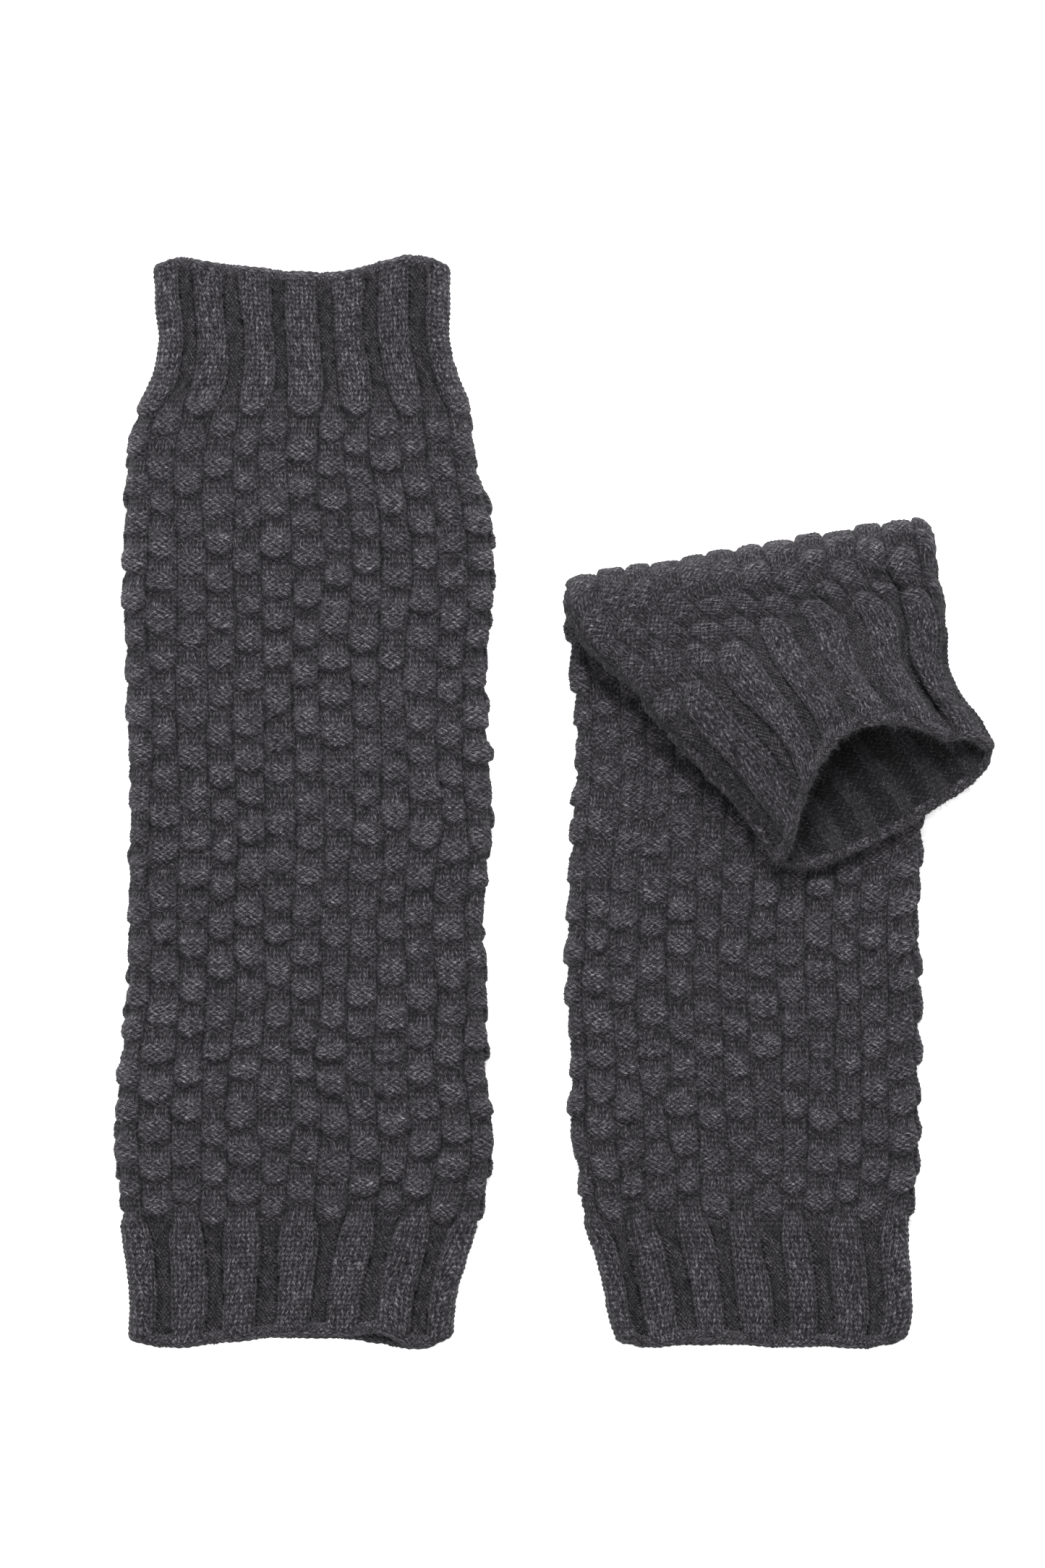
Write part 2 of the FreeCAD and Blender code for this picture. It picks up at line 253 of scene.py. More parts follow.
def left_base(wale, along):
    """Base surface of the left glove."""
    left = through([(s, a) for s, a, b in LEFT_OUTLINE], along) + SILHOUETTE_INSET
    right = through([(s, b) for s, a, b in LEFT_OUTLINE], along) - SILHOUETTE_INSET
    cuffs = np.maximum(1 - smoothstep(along, HAND_CUFF - 8, HAND_CUFF + 10),
                       smoothstep(along, ARM_CUFF - 10, ARM_CUFF + 8))
    height = LEFT_SLEEVE_HEIGHT + (LEFT_CUFF_HEIGHT - LEFT_SLEEVE_HEIGHT) * cuffs
    across, up = stadium(rib_squeeze(wale, along) / WALES, right - left, height)
    x = (left + right) / 2 + across
    share = np.clip((x - left) / (right - left), 0, 1)
    front = 0.5 + up / height
    hand_dip = through(LEFT_HAND_DIP, share) * front + through(LEFT_HAND_DIP_UNDER, share) * (1 - front)
    arm_dip = through(LEFT_ARM_DIP, share) * front + through(LEFT_ARM_DIP_UNDER, share) * (1 - front)
    y = HALF - along
    y = y - hand_dip * np.clip(1 - along / DIP_REACH, 0, 1) ** 1.5
    y = y + arm_dip * np.clip(1 - (LENGTH - along) / DIP_REACH, 0, 1) ** 1.5
    z = 1.0 + height / 2 + up
    z = z + front * sag(11, x, y, 0.7)
    # the arm mouth's upper layer lifts where it shows the layer under it
    lift = np.exp(-((share - 0.78) / 0.09) ** 2) * smoothstep(along, LENGTH - 22, LENGTH)
    z = z + 2.2 * lift * front
    return np.stack([x, y, z], axis=-1)


# ---------------------------------------------------------------- right glove, folded over itself
# Outline of the sleeve: position along Y, left edge, right edge.
RIGHT_OUTLINE = [
    (-151, 17.8, 96.2), (-146, 15.6, 98.2), (-134, 13.2, 98.6), (-124, 10.6, 98.0), (-114, 7.0, 98.3),
    (-102, 5.4, 100.0), (-92, 3.6, 100.8), (-74, 3.4, 100.4), (-52, 2.4, 100.8), (-34, 2.6, 100.3),
    (-14, 3.3, 101.4), (4, 4.9, 101.9), (34, 4.0, 102.0), (52, 2.2, 102.4), (70, 2.2, 102.6),
]
RIGHT_ARM_DIP = [(0, 2.0), (0.08, 0.4), (0.24, 2.0), (0.34, 2.2), (0.45, 0.9), (0.7, 0.7), (0.92, 0.9),
                 (1, 3.4)]
FOLD_JOINT = next(j for j in frame["joints"] if j["name"] == "right_fold")
FOLD_POINT = np.array(FOLD_JOINT["pos_m"]) / MM
FOLD_WAY = -np.array(FOLD_JOINT["axis"])            # along the fold, from left to right
FOLD_OUT = np.array([-FOLD_WAY[1], FOLD_WAY[0], 0])   # level, out of the fold
FOLD_Z = FOLD_POINT[2]
FOLD_BACK = 4.2             # the bend's centre line is this far inside the joint
FOLD_HALF_WIDTH = 50.2
PRESSED_HEIGHT = 7.2        # sleeve under the flap
PRESSED_FLOOR = 0.7         # lowest point of the base surface there
RIGHT_SLEEVE_HEIGHT = 8.0
# Edges of the flap as seen from above, from the fold to the mouth.
FLAP_LEFT = [(3.6, 51.2), (6.6, 45.6), (11.6, 39.6), (20.4, 32.2), (29.2, 21.2), (38.8, 11.4), (50.8, -1.2),
             (58.6, -12.0), (61.8, -17.6)]
FLAP_RIGHT = [(102.9, 67.9), (105.3, 58.5), (107.0, 48.5), (107.0, 38.0), (111.2, 28.6), (117.0, 21.4),
              (120.4, 14.8)]
# The mouth's lips: share across from the left corner, distance back from the line between the corners.
UPPER_LIP = [(0, 0), (0.1, 4.6), (0.18, 10.8), (0.27, 15.8), (0.38, 20.6), (0.5, 23.2), (0.6, 22.0),
             (0.7, 18.4), (0.8, 12.2), (0.88, 7.0), (0.95, 4.6), (1, 0)]
LOWER_LIP = [(0, 0), (0.05, -3.4), (0.13, -5.5), (0.3, -6.8), (0.7, -6.7), (0.88, -5.2), (0.96, -3.0),
             (1, 0)]
LIP_RISE = 14.5             # how far the middle of the upper lip stands above its corners
MOUTH_CORNER = 5.0          # height of the mouth at its corners
MOUTH_FLOOR = 11.7          # height of the lower lip above the table
# Soft folds from the bend to the upper lip: share across at each end, depth, width.
FLAP_FOLDS = [(0.885, 0.88, 4.6, 0.026), (0.68, 0.70, 1.4, 0.03), (0.5, 0.36, 0.9, 0.04)]
BEND_STEPS, SLEEVE_STEPS, FLAP_STEPS = 60, 240, 170
RIGHT_GIRTH = 196.0         # once round the sleeve
RIGHT_FIRST_RIB = 1         # wales from the tube's left edge to its first rib


def right_sleeve_points(a, b):
    """The sleeve, from the arm rim to the start of the bend."""
    centre = FOLD_POINT - FOLD_OUT * FOLD_BACK
    ends = [centre + side * FOLD_WAY * FOLD_HALF_WIDTH for side in (-1, 1)]
    t = np.linspace(0, 1, SLEEVE_STEPS, endpoint=False)[:, None]
    y_left = -HALF + t * (ends[0][1] + HALF)
    y_right = -HALF + t * (ends[1][1] + HALF)
    left = through([(y, p) for y, p, q in RIGHT_OUTLINE], y_left) + SILHOUETTE_INSET
    right = through([(y, q) for y, p, q in RIGHT_OUTLINE], y_right) - SILHOUETTE_INSET
    share = (a + 1) / 2
    x = left + share * (right - left)
    y = y_left + share * (y_right - y_left)
    pressed = smoothstep(y, -25, 20)
    height = RIGHT_SLEEVE_HEIGHT + (PRESSED_HEIGHT - RIGHT_SLEEVE_HEIGHT) * pressed
    front = (b + 1) / 2
    z = PRESSED_FLOOR + 0.3 * (1 - pressed) + height * front
    z = z + front * (1 - pressed) * sag(12, x, y, 0.6)
    from_rim = y + HALF
    crease = left + 5.4 + 0.19 * from_rim
    depth = 2.2 * (1 - smoothstep(from_rim, 50, 74))
    z = z - front * depth * np.exp(-((x - crease) / 1.5) ** 2)
    dip = through(RIGHT_ARM_DIP, share) * front + 0.9 * (1 - front)
    y = y + dip * np.clip(1 - (y + HALF) / DIP_REACH, 0, 1) ** 1.5
    return np.stack([x + 0 * z, y + 0 * z, z], axis=-1)


def right_bend_points(a, b):
    """The bend, half a turn about the fold: the underside of the sleeve becomes the flap's upper layer."""
    angle = np.linspace(0, math.pi, BEND_STEPS, endpoint=False)[:, None, None]
    centre = FOLD_POINT - FOLD_OUT * FOLD_BACK
    middle = PRESSED_FLOOR + PRESSED_HEIGHT / 2
    radius = (FOLD_Z - middle - b * PRESSED_HEIGHT / 2)[..., None]
    widen = 1 + 0.02 * (a[..., None] > 0) * a[..., None] * smoothstep(angle, 0.6, 2.6)
    line = centre + FOLD_WAY * FOLD_HALF_WIDTH * a[..., None] * widen
    out = FOLD_OUT * radius * np.sin(angle)
    rise = np.array([0, 0, 1]) * (-radius * np.cos(angle))
    points = line + out + rise
    points[..., 2] = FOLD_Z - (radius * np.cos(angle))[..., 0]
    return points


def right_flap_points(a, b):
    """The flap, from the bend to the lips of the open hand mouth."""
    t = np.linspace(0, 1, FLAP_STEPS)[:, None]
    left = path_through(FLAP_LEFT, t[:, 0])[:, None, :]
    right = path_through(FLAP_RIGHT, t[:, 0])[:, None, :]
    share = (a + 1) / 2
    under = (b + 1) / 2
    over = 1 - under
    share = share + 1.15 * share * (1 - share) * t * (1 - t) * over
    plan = left + share[..., None] * (right - left)
    chord = np.array(FLAP_RIGHT[-1]) - np.array(FLAP_LEFT[-1])
    chord = chord / np.linalg.norm(chord)
    back = np.array([-chord[1], chord[0]])
    upper = through(UPPER_LIP, share) * t * over
    lower = through(LOWER_LIP, share) * t**2 * under
    plan = plan + back * (upper + lower)[..., None]
    bulge = np.clip(np.sin(math.pi * share), 0, 1) ** 0.75
    opening = smoothstep(t, 0.12, 1.0)
    height = PRESSED_HEIGHT + (MOUTH_CORNER + LIP_RISE * bulge - PRESSED_HEIGHT) * opening
    bottom_start = 2 * FOLD_Z - PRESSED_FLOOR - PRESSED_HEIGHT
    bottom = bottom_start + (MOUTH_FLOOR - bottom_start) * smoothstep(t, 0.62, 1.0)
    z = bottom + height * over
    for at_bend, at_lip, depth, width in FLAP_FOLDS:
        line = at_bend + (at_lip - at_bend) * t
        reach = smoothstep(t, 0.0, 0.2) * (1 - 0.4 * t)
        z = z - over * depth * np.exp(-((share - line) / width) ** 2) * reach
    return np.concatenate([plan, z[..., None]], axis=-1)


def blur(grid, passes):
    """Even out kinks in a grid that closes round its columns."""
    for _ in range(passes):
        grid = (np.roll(grid, 1, axis=1) + 2 * grid + np.roll(grid, -1, axis=1)) / 4
        inner = (grid[:-2] + 2 * grid[1:-1] + grid[2:]) / 4
        grid = np.concatenate([grid[:1], inner, grid[-1:]])
    return grid


def right_base(wale, along):
    """Base surface of the right glove: every wale's own path, divided evenly into courses."""
    columns = wale[0]
    turn = columns / WALES
    across, up = stadium(turn, RIGHT_GIRTH / 2, PRESSED_HEIGHT)
    a, b = (across / (RIGHT_GIRTH / 4))[None, :], (up / (PRESSED_HEIGHT / 2))[None, :]
    path = np.concatenate([right_sleeve_points(a, b), right_bend_points(a, b), right_flap_points(a, b)])
    path = blur(path, 3)
    step = np.linalg.norm(np.diff(path, axis=0), axis=2)
    reach = np.concatenate([np.zeros((1, step.shape[1])), np.cumsum(step, axis=0)])
    sleeve_end = reach[SLEEVE_STEPS - 20]
    total = reach[-1]
    from_arm = LENGTH - along
    out = np.empty(wale.shape + (3,))
    for i in range(wale.shape[1]):
        begin = sleeve_end[i]
        even = begin + (LENGTH - begin) * (reach[:, i] - begin) / (total[i] - begin)
        measured = np.where(reach[:, i] < begin, reach[:, i], even)
        for k in range(3):
            out[:, i, k] = np.interp(from_arm[:, i], measured, path[:, i, k])
    # crowd the wales of the cuffs into ribs
    squeezed = rib_squeeze(wale, along, RIGHT_FIRST_RIB) / WALES * wale.shape[1]
    low = np.floor(squeezed).astype(int)
    part = (squeezed - low)[..., None]
    row = np.arange(wale.shape[0])[:, None]
    out = out[row, low % wale.shape[1]] * (1 - part) + out[row, (low + 1) % wale.shape[1]] * part
    return out


# ---------------------------------------------------------------- meshes
def surface_normals(points):
    """Outward unit normals of a grid that closes round its columns."""
    along = np.gradient(points, axis=0)
    around = (np.roll(points, -1, axis=1) - np.roll(points, 1, axis=1)) / 2
    n = np.cross(along, around)
    return n / np.maximum(np.linalg.norm(n, axis=2, keepdims=True), 1e-9)


def make_mesh(name, vertices, faces):
    """Smooth-shaded object made of quads, from vertices in millimetres."""
    mesh = bpy.data.meshes.new(name)
    mesh.vertices.add(len(vertices))
    mesh.vertices.foreach_set("co", (vertices * MM).astype(np.float32).ravel())
    faces = np.asarray(faces, np.int32)
    mesh.loops.add(faces.size)
    mesh.loops.foreach_set("vertex_index", faces.ravel())
    mesh.polygons.add(len(faces))
    mesh.polygons.foreach_set("loop_start", np.arange(0, faces.size, 4, dtype=np.int32))
    mesh.polygons.foreach_set("loop_total", np.full(len(faces), 4, np.int32))
    mesh.polygons.foreach_set("use_smooth", np.full(len(faces), True))
    mesh.update(calc_edges=True)
    piece = bpy.data.objects.new(name, mesh)
    bpy.context.scene.collection.objects.link(piece)
    return piece


def grid_faces(start, rows, cols, flip=False):
    """Quads of a grid that closes round its columns."""
    i = np.arange(rows - 1)[:, None]
    j = np.arange(cols)[None, :]
    a = start + i * cols + j
    b = start + i * cols + (j + 1) % cols
    quads = np.stack([a, a + cols, b + cols, b], axis=-1).reshape(-1, 4)
    return quads[:, ::-1] if flip else quads


def ring_faces(first, second, cols, flip=False):
    """Quads between two rings of the same number of points."""
    j = np.arange(cols)
    k = (j + 1) % cols
    quads = np.stack([first + j, first + k, second + k, second + j], axis=-1)
    return quads[:, ::-1] if flip else quads


def add_layer(mesh, name, values):
    """Store a number for every vertex."""
    mesh.attributes.new(name, "FLOAT", "POINT").data.foreach_set("value", values.astype(np.float32))


def add_uv(mesh, name, uv):
    """Store a position on the fabric for every corner of every face."""
    layer = mesh.uv_layers.new(name=name)
    layer.data.foreach_set("uv", uv.astype(np.float32).ravel())


def mark_sharp(mesh, ends):
    """Keep the shading of the end rings apart from the faces of the fabric."""
    at_end = np.zeros(len(mesh.vertices), dtype=bool)
    at_end[ends] = True
    edges = np.empty(len(mesh.edges) * 2, dtype=np.int32)
    mesh.edges.foreach_get("vertices", edges)
    edges = edges.reshape(-1, 2)
    sharp = at_end[edges[:, 0]] & at_end[edges[:, 1]]
    mesh.attributes.new("sharp_edge", "BOOLEAN", "EDGE").data.foreach_set("value", sharp)


class Glove:
    """One glove's grids: base surface, outer face, inner face, and what the material needs."""

    def __init__(self, base, seed, first_rib=0, shape=None):
        rows = int(round((LENGTH - 2 * HEM / 3) / COURSE * PER_COURSE)) + 1
        along = np.linspace(HEM / 3, LENGTH - HEM / 3, rows)
        wale = np.arange(COLUMNS) / PER_WALE
        self.wale, self.along = np.meshgrid(wale, along)
        self.base = base(self.wale, self.along)
        self.normals = surface_normals(self.base)
        large, fine, purl, groove = knit_relief((self.wale + first_rib) % WALES, self.along, seed)
        if shape is not None:
            large = shape(self, large)
        self.relief, self.purl = large, purl
        # the relief that sets the wool's painted shade, eased in the middle of grooves
        self.tone = large + GROOVE_SHADE_EASE * groove
        self.outer = self.base + self.normals * (large + fine)[..., None]
        self.outer[..., 2] = np.maximum(self.outer[..., 2], TABLE)
        depth = LAYER - 0.75 * large
        self.inner = self.base - self.normals * depth[..., None]

    def row(self, along):
        """Index of the course nearest to a distance along."""
        return int(np.argmin(np.abs(self.along[:, 0] - along)))


INNER_SHIFT = 317.0         # the inner layer takes its pattern from another part of the noise


def knit_piece(glove, name, start, end):
    """Closed two-layer mesh of the fabric between two distances along."""
    first, last = glove.row(start), glove.row(end)
    outer_rows = np.arange(first, last + 1)
    inner_rows = np.unique(np.append(np.arange(first, last + 1, PER_COURSE), last))
    outer = glove.outer[outer_rows].reshape(-1, 3)
    inner = glove.inner[inner_rows].reshape(-1, 3)
    count = len(outer)
    n_out, n_in = len(outer_rows), len(inner_rows)
    faces = np.concatenate([
        grid_faces(0, n_out, COLUMNS),
        grid_faces(count, n_in, COLUMNS, flip=True),
        ring_faces(0, count, COLUMNS),
        ring_faces(count - COLUMNS, count + len(inner) - COLUMNS, COLUMNS, flip=True),
    ])
    piece = make_mesh(name, np.concatenate([outer, inner]), faces)
    mesh = piece.data
    rows = np.concatenate([np.repeat(outer_rows, COLUMNS), np.repeat(inner_rows, COLUMNS)])
    cols = np.concatenate([np.tile(np.arange(COLUMNS), n_out), np.tile(np.arange(COLUMNS), n_in)])
    inside = np.concatenate([np.zeros(count), np.ones(len(inner))])
    # painted shade: this relief sets the wool's darkening of hollows; on the inner layer it is turned over
    # and deepened
    add_layer(mesh, "relief", glove.tone[rows, cols] * (1 - 1.8 * inside))
    add_layer(mesh, "purl", np.where(inside > 0, 1 - glove.purl[rows, cols], glove.purl[rows, cols]))
    add_layer(mesh, "inside", inside)
    loops = np.concatenate(faces)
    corner_col = cols[loops].reshape(-1, 4).astype(float)
    wrapped = (corner_col.max(axis=1) - corner_col.min(axis=1)) > COLUMNS / 2
    corner_col[wrapped] += np.where(corner_col[wrapped] < COLUMNS / 2, COLUMNS, 0)
    turn = corner_col.ravel() / COLUMNS
    reach = glove.along[rows[loops], 0]
    side = inside[loops]
    add_uv(mesh, "Knit", np.column_stack([turn * WALES * 2 + side * INNER_SHIFT, reach]))
    share = (reach - glove.along[first, 0]) / (glove.along[last, 0] - glove.along[first, 0])
    # outer layer low, inner layer high, and a narrow strip of its own for each end ring
    ring = 4 * COLUMNS
    v = 0.01 + share * 0.48 + side * 0.5
    v[-2 * ring:-ring] = 0.001 + 0.006 * side[-2 * ring:-ring]
    v[-ring:] = 0.494 + 0.008 * side[-ring:]
    add_uv(mesh, "OFBake", np.column_stack([0.005 + turn * 0.99, v]))
    ends = np.concatenate([np.arange(COLUMNS), count - 1 - np.arange(COLUMNS),
                           count + np.arange(COLUMNS), count + len(inner) - 1 - np.arange(COLUMNS)])
    mark_sharp(mesh, ends)
    return piece


def add_tube_layers(mesh, faces, rows, cols, step, girth):
    """Fabric position, bake position and wool attributes of a swept tube."""
    # relief 0.9 gives hems and seams a fixed, light level of the wool's painted shade
    for key, value in (("relief", 0.9), ("purl", 1.0), ("inside", 0.0)):
        add_layer(mesh, key, np.full(len(mesh.vertices), value))
    row = (faces // cols).astype(float)
    col = (faces % cols).astype(float)
    for part, whole in ((row, rows), (col, cols)):
        wrapped = part.max(axis=1) - part.min(axis=1) > whole / 2
        part[wrapped] += np.where(part[wrapped] < whole / 2, whole, 0)
    add_uv(mesh, "Knit", np.column_stack([row.ravel() * step, col.ravel() / cols * girth]))
    add_uv(mesh, "OFBake", np.column_stack([row.ravel() / (rows + 1), col.ravel() / (cols + 1)]))


def swept_tube(name, centre, first, second, radii, closed, step):
    """Tube round a line of centres: first and second are its half axes at every centre."""
    rows, cols = radii.shape
    turn = 2 * math.pi * np.arange(cols) / cols
    ring = first[:, None, :] * np.cos(turn)[None, :, None] + second[:, None, :] * np.sin(turn)[None, :, None]
    vertices = (centre[:, None, :] + ring * radii[..., None]).reshape(-1, 3)
    vertices[:, 2] = np.maximum(vertices[:, 2], TABLE)
    i = np.arange(rows if closed else rows - 1)[:, None]
    j = np.arange(cols)[None, :]
    k, n = (j + 1) % cols, (i + 1) % rows
    faces = np.stack([i * cols + j, i * cols + k, n * cols + k, n * cols + j], axis=-1).reshape(-1, 4)
    if not closed:
        last = (rows - 1) * cols
        near = [[q, cols - 1 - q, cols - 2 - q, q + 1] for q in range(cols // 2 - 1)]
        faces = np.concatenate([faces, near, [[last + p for p in quad[::-1]] for quad in near]])
    piece = make_mesh(name, vertices, faces)
    add_tube_layers(piece.data, np.asarray(faces), rows, cols, step, 2 * math.pi * 1.7)
    return piece


def hem_roll(glove, name, at_hand):
    """The rolled edge of a cuff: a purl roll that follows the rim."""
    edge, inner = (0, 8) if at_hand else (-1, -9)
    rim = glove.base[edge]
    outward = rim - glove.base[inner]
    outward /= np.linalg.norm(outward, axis=1, keepdims=True)
    normal = glove.normals[edge]
    lift = 0.45 * glove.relief[edge][:, None]
    centre = rim + normal * (lift - LAYER / 2 + 0.35) - outward * 0.4
    cols = 16
    turn = 2 * math.pi * np.arange(cols)[None, :] / cols
    wale = (np.arange(COLUMNS) / PER_WALE)[:, None]
    stitch = 0.5 + 0.5 * np.cos(2 * math.pi * wale + 2.0 * turn)
    uneven = value_noise(7 + at_hand, wale + 0 * turn, turn + 0 * wale, 1.6, 1.1, 65)
    radii = 0.93 + 0.14 * stitch + 0.15 * uneven
    return swept_tube(name, centre, outward * 1.9, normal * 1.75, radii, True, 2 / PER_WALE)


def seam_chain(glove, name, turn, start, end):
    """The linking seam: a stitched ridge along the inside of one edge."""
    column = int(round(turn * COLUMNS)) % COLUMNS
    rows = np.arange(glove.row(start), glove.row(end) + 1)
    around = np.roll(glove.inner, -1, axis=1)[rows, column] - np.roll(glove.inner, 1, axis=1)[rows, column]
    around /= np.linalg.norm(around, axis=1, keepdims=True)
    normal = glove.normals[rows, column]
    centre = glove.inner[rows, column] - normal * 0.25
    cols = 10
    angle = 2 * math.pi * np.arange(cols)[None, :] / cols
    along = glove.along[rows, :1]
    stitch = 0.5 + 0.5 * np.cos(2 * math.pi * along / 3.0 + angle)
    taper = np.sqrt(np.clip((np.minimum(along - along[0], along[-1] - along) + 0.1) / 2.0, 0.05, 1))
    radii = (0.78 + 0.24 * stitch) * taper
    return swept_tube(name, centre, -normal * 0.85, around * 1.15, radii, False, COURSE / PER_COURSE)


# ---------------------------------------------------------------- materials
def wool(name, base, light, dark):
    """Fuzzy melange wool: stitches and fibres that run with them, with painted shade in the hollows, between
    the yarns and on the inner layer, and painted light on high points.
    """
    material = bpy.data.materials.new(name)
    material.use_nodes = True
    tree = material.node_tree
    nodes, links = tree.nodes, tree.links
    shader = nodes["Principled BSDF"]
    shader.inputs["Roughness"].default_value = 0.92
    shader.inputs["Specular IOR Level"].default_value = 0.12
    shader.inputs["Sheen Weight"].default_value = 0.15
    shader.inputs["Sheen Roughness"].default_value = 0.6
    shader.inputs["Sheen Tint"].default_value = (0.62, 0.62, 0.66, 1)

    def node(kind, **settings):
        item = nodes.new(kind)
        for key, value in settings.items():
            setattr(item, key, value)
        return item

    def plug(socket, value):
        if isinstance(value, (int, float)):
            socket.default_value = value
        else:
            links.new(value, socket)

    def calc(operation, *values):
        item = node("ShaderNodeMath", operation=operation)
        for socket, value in zip(item.inputs, values):
            plug(socket, value)
        return item.outputs[0]

    def blend(factor, first, second):
        item = node("ShaderNodeMix", data_type="FLOAT")
        for socket, value in zip((item.inputs[0], item.inputs[2], item.inputs[3]), (factor, first, second)):
            plug(socket, value)
        return item.outputs[0]

    def attribute(key):
        return node("ShaderNodeAttribute", attribute_name=key).outputs["Fac"]

    uv = node("ShaderNodeUVMap", uv_map="Knit").outputs[0]

    def noise(place, detail, distortion=0.3):
        item = node("ShaderNodeTexNoise")
        item.inputs["Scale"].default_value = 1.0
        item.inputs["Detail"].default_value = detail
        item.inputs["Roughness"].default_value = 0.6
        item.inputs["Distortion"].default_value = distortion
        links.new(place, item.inputs["Vector"])
        return item

    def fibres(angle, across, along, detail, seed, curl=0.3):
        """Noise drawn out along one direction, like combed fibres."""
        place = node("ShaderNodeMapping", vector_type="TEXTURE")
        links.new(uv, place.inputs["Vector"])
        place.inputs["Rotation"].default_value = (0, 0, math.radians(angle))
        place.inputs["Scale"].default_value = (1 / across, 1 / along, 1)
        place.inputs["Location"].default_value = (seed * 3.7, seed * 1.9, seed * 5.3)
        return noise(place.outputs[0], detail, curl).outputs["Fac"]

    def stitches(purl):
        """Height of the yarns, high in the middle of each yarn and low between yarns: upright Vs in knit,
        bricks in purl. It drives the bump, and painted shade between yarns.
        """
        wobble = node("ShaderNodeVectorMath", operation="MULTIPLY_ADD")
        links.new(noise(uv, 1.0).outputs["Color"], wobble.inputs[0])
        wobble.inputs[1].default_value = (0.9, 0.9, 0)
        links.new(uv, wobble.inputs[2])
        split = node("ShaderNodeSeparateXYZ")
        links.new(wobble.outputs[0], split.inputs[0])
        across = calc("FRACT", calc("MULTIPLY", split.outputs[0], 0.5))
        side = calc("ABSOLUTE", calc("SUBTRACT", across, 0.5))
        leg = calc("SUBTRACT", 1.0, calc("ABSOLUTE", calc("MULTIPLY_ADD", side, 4.0, -1.0)))
        row = calc("MULTIPLY", split.outputs[1], 2 * math.pi / COURSE)
        slope = calc("MULTIPLY_ADD", side, 6.5, row)
        twist = calc("MULTIPLY_ADD", calc("COSINE", slope), 0.35, 0.65)
        knit = calc("MULTIPLY", calc("POWER", leg, 0.6), twist)
        wave = calc("MULTIPLY_ADD", calc("COSINE", row), 0.5, 0.5)
        centre = calc("MULTIPLY_ADD", calc("COSINE", calc("MULTIPLY", side, 2 * math.pi)), 0.5, 0.5)
        over = calc("MULTIPLY", wave, centre)
        under = calc("MULTIPLY", calc("SUBTRACT", 1.0, wave), calc("SUBTRACT", 1.0, centre))
        brick = calc("POWER", calc("MAXIMUM", over, under), 0.7)
        return blend(purl, knit, brick)

    purl, relief, inside = attribute("purl"), attribute("relief"), attribute("inside")
    upright = calc("MAXIMUM", fibres(14, 3.5, 0.42, 2.0, 1), fibres(-17, 3.3, 0.46, 2.0, 2))
    level = calc("MAXIMUM", fibres(66, 3.4, 0.62, 2.0, 3, 0.8), fibres(116, 3.2, 0.58, 2.0, 4, 0.8))
    strand = blend(purl, calc("MULTIPLY_ADD", upright, 0.76, 0.137), level)
    pattern = stitches(purl)
    patch = fibres(0, 0.35, 0.35, 2.0, 5)
    grain = fibres(35, 4.2, 2.0, 1.0, 6)
    tuft = calc("ADD", calc("MULTIPLY_ADD", grain, 0.22, strand), -0.11)

    ramp = node("ShaderNodeValToRGB")
    ramp.color_ramp.interpolation = "LINEAR"
    stops = ramp.color_ramp.elements
    stops[0].position, stops[0].color = 0.46, (*dark, 1)
    stops[1].position, stops[1].color = 0.70, (*light, 1)
    middle = stops.new(0.57)
    middle.color = (*base, 1)
    links.new(tuft, ramp.inputs[0])

    # painted shade and light: the colour is darker in hollows, grooves and the gaps between yarns and
    # lighter on high points, with slow random patches of tone
    height = calc("MINIMUM", calc("MULTIPLY_ADD", relief, 0.24, 0.71), 1.10)
    hollow_shade = calc("MINIMUM", calc("MAXIMUM", calc("MULTIPLY_ADD", relief, 0.92, 1.18), 0.46), 1.0)
    height = calc("MULTIPLY", height, hollow_shade)
    tone = calc("MULTIPLY_ADD", patch, 0.95, 0.49)
    # painted shade between yarns, from the stitch pattern
    yarn_gap_shade = calc("MULTIPLY_ADD", pattern, 1.32, 0.21)
    shade = calc("MULTIPLY", calc("MULTIPLY", height, tone), yarn_gap_shade)
    # painted shade: the inner layer, seen inside the mouth, is darker
    shade = calc("MULTIPLY", shade, calc("MULTIPLY_ADD", inside, -0.24, 1.0))
    shaded_colour = node("ShaderNodeVectorMath", operation="SCALE")
    links.new(ramp.outputs["Color"], shaded_colour.inputs[0])
    links.new(shade, shaded_colour.inputs["Scale"])
    links.new(shaded_colour.outputs[0], shader.inputs["Base Color"])

    bump = node("ShaderNodeBump")
    bump.inputs["Strength"].default_value = 0.8
    bump.inputs["Distance"].default_value = 0.5 * MM
    links.new(calc("ADD", pattern, calc("MULTIPLY", tuft, 1.6)), bump.inputs["Height"])
    links.new(bump.outputs[0], shader.inputs["Normal"])
    return material


def fuzz_material():
    """Loose fibres that stand off the knit."""
    material = bpy.data.materials.new("loose_fibres")
    material.use_nodes = True
    nodes, links = material.node_tree.nodes, material.node_tree.links
    shader = nodes["Principled BSDF"]
    shader.inputs["Roughness"].default_value = 0.8
    shader.inputs["Specular IOR Level"].default_value = 0.2
    hair = nodes.new("ShaderNodeHairInfo")
    ramp = nodes.new("ShaderNodeValToRGB")
    stops = ramp.color_ramp.elements
    stops[0].position, stops[0].color = 0.0, (0.012, 0.0112, 0.0125, 1)
    stops[1].position, stops[1].color = 1.0, (0.36, 0.345, 0.36, 1)
    middle = stops.new(0.7)
    middle.color = (0.070, 0.066, 0.072, 1)
    links.new(hair.outputs["Random"], ramp.inputs[0])
    links.new(ramp.outputs[0], shader.inputs["Base Color"])
    return material


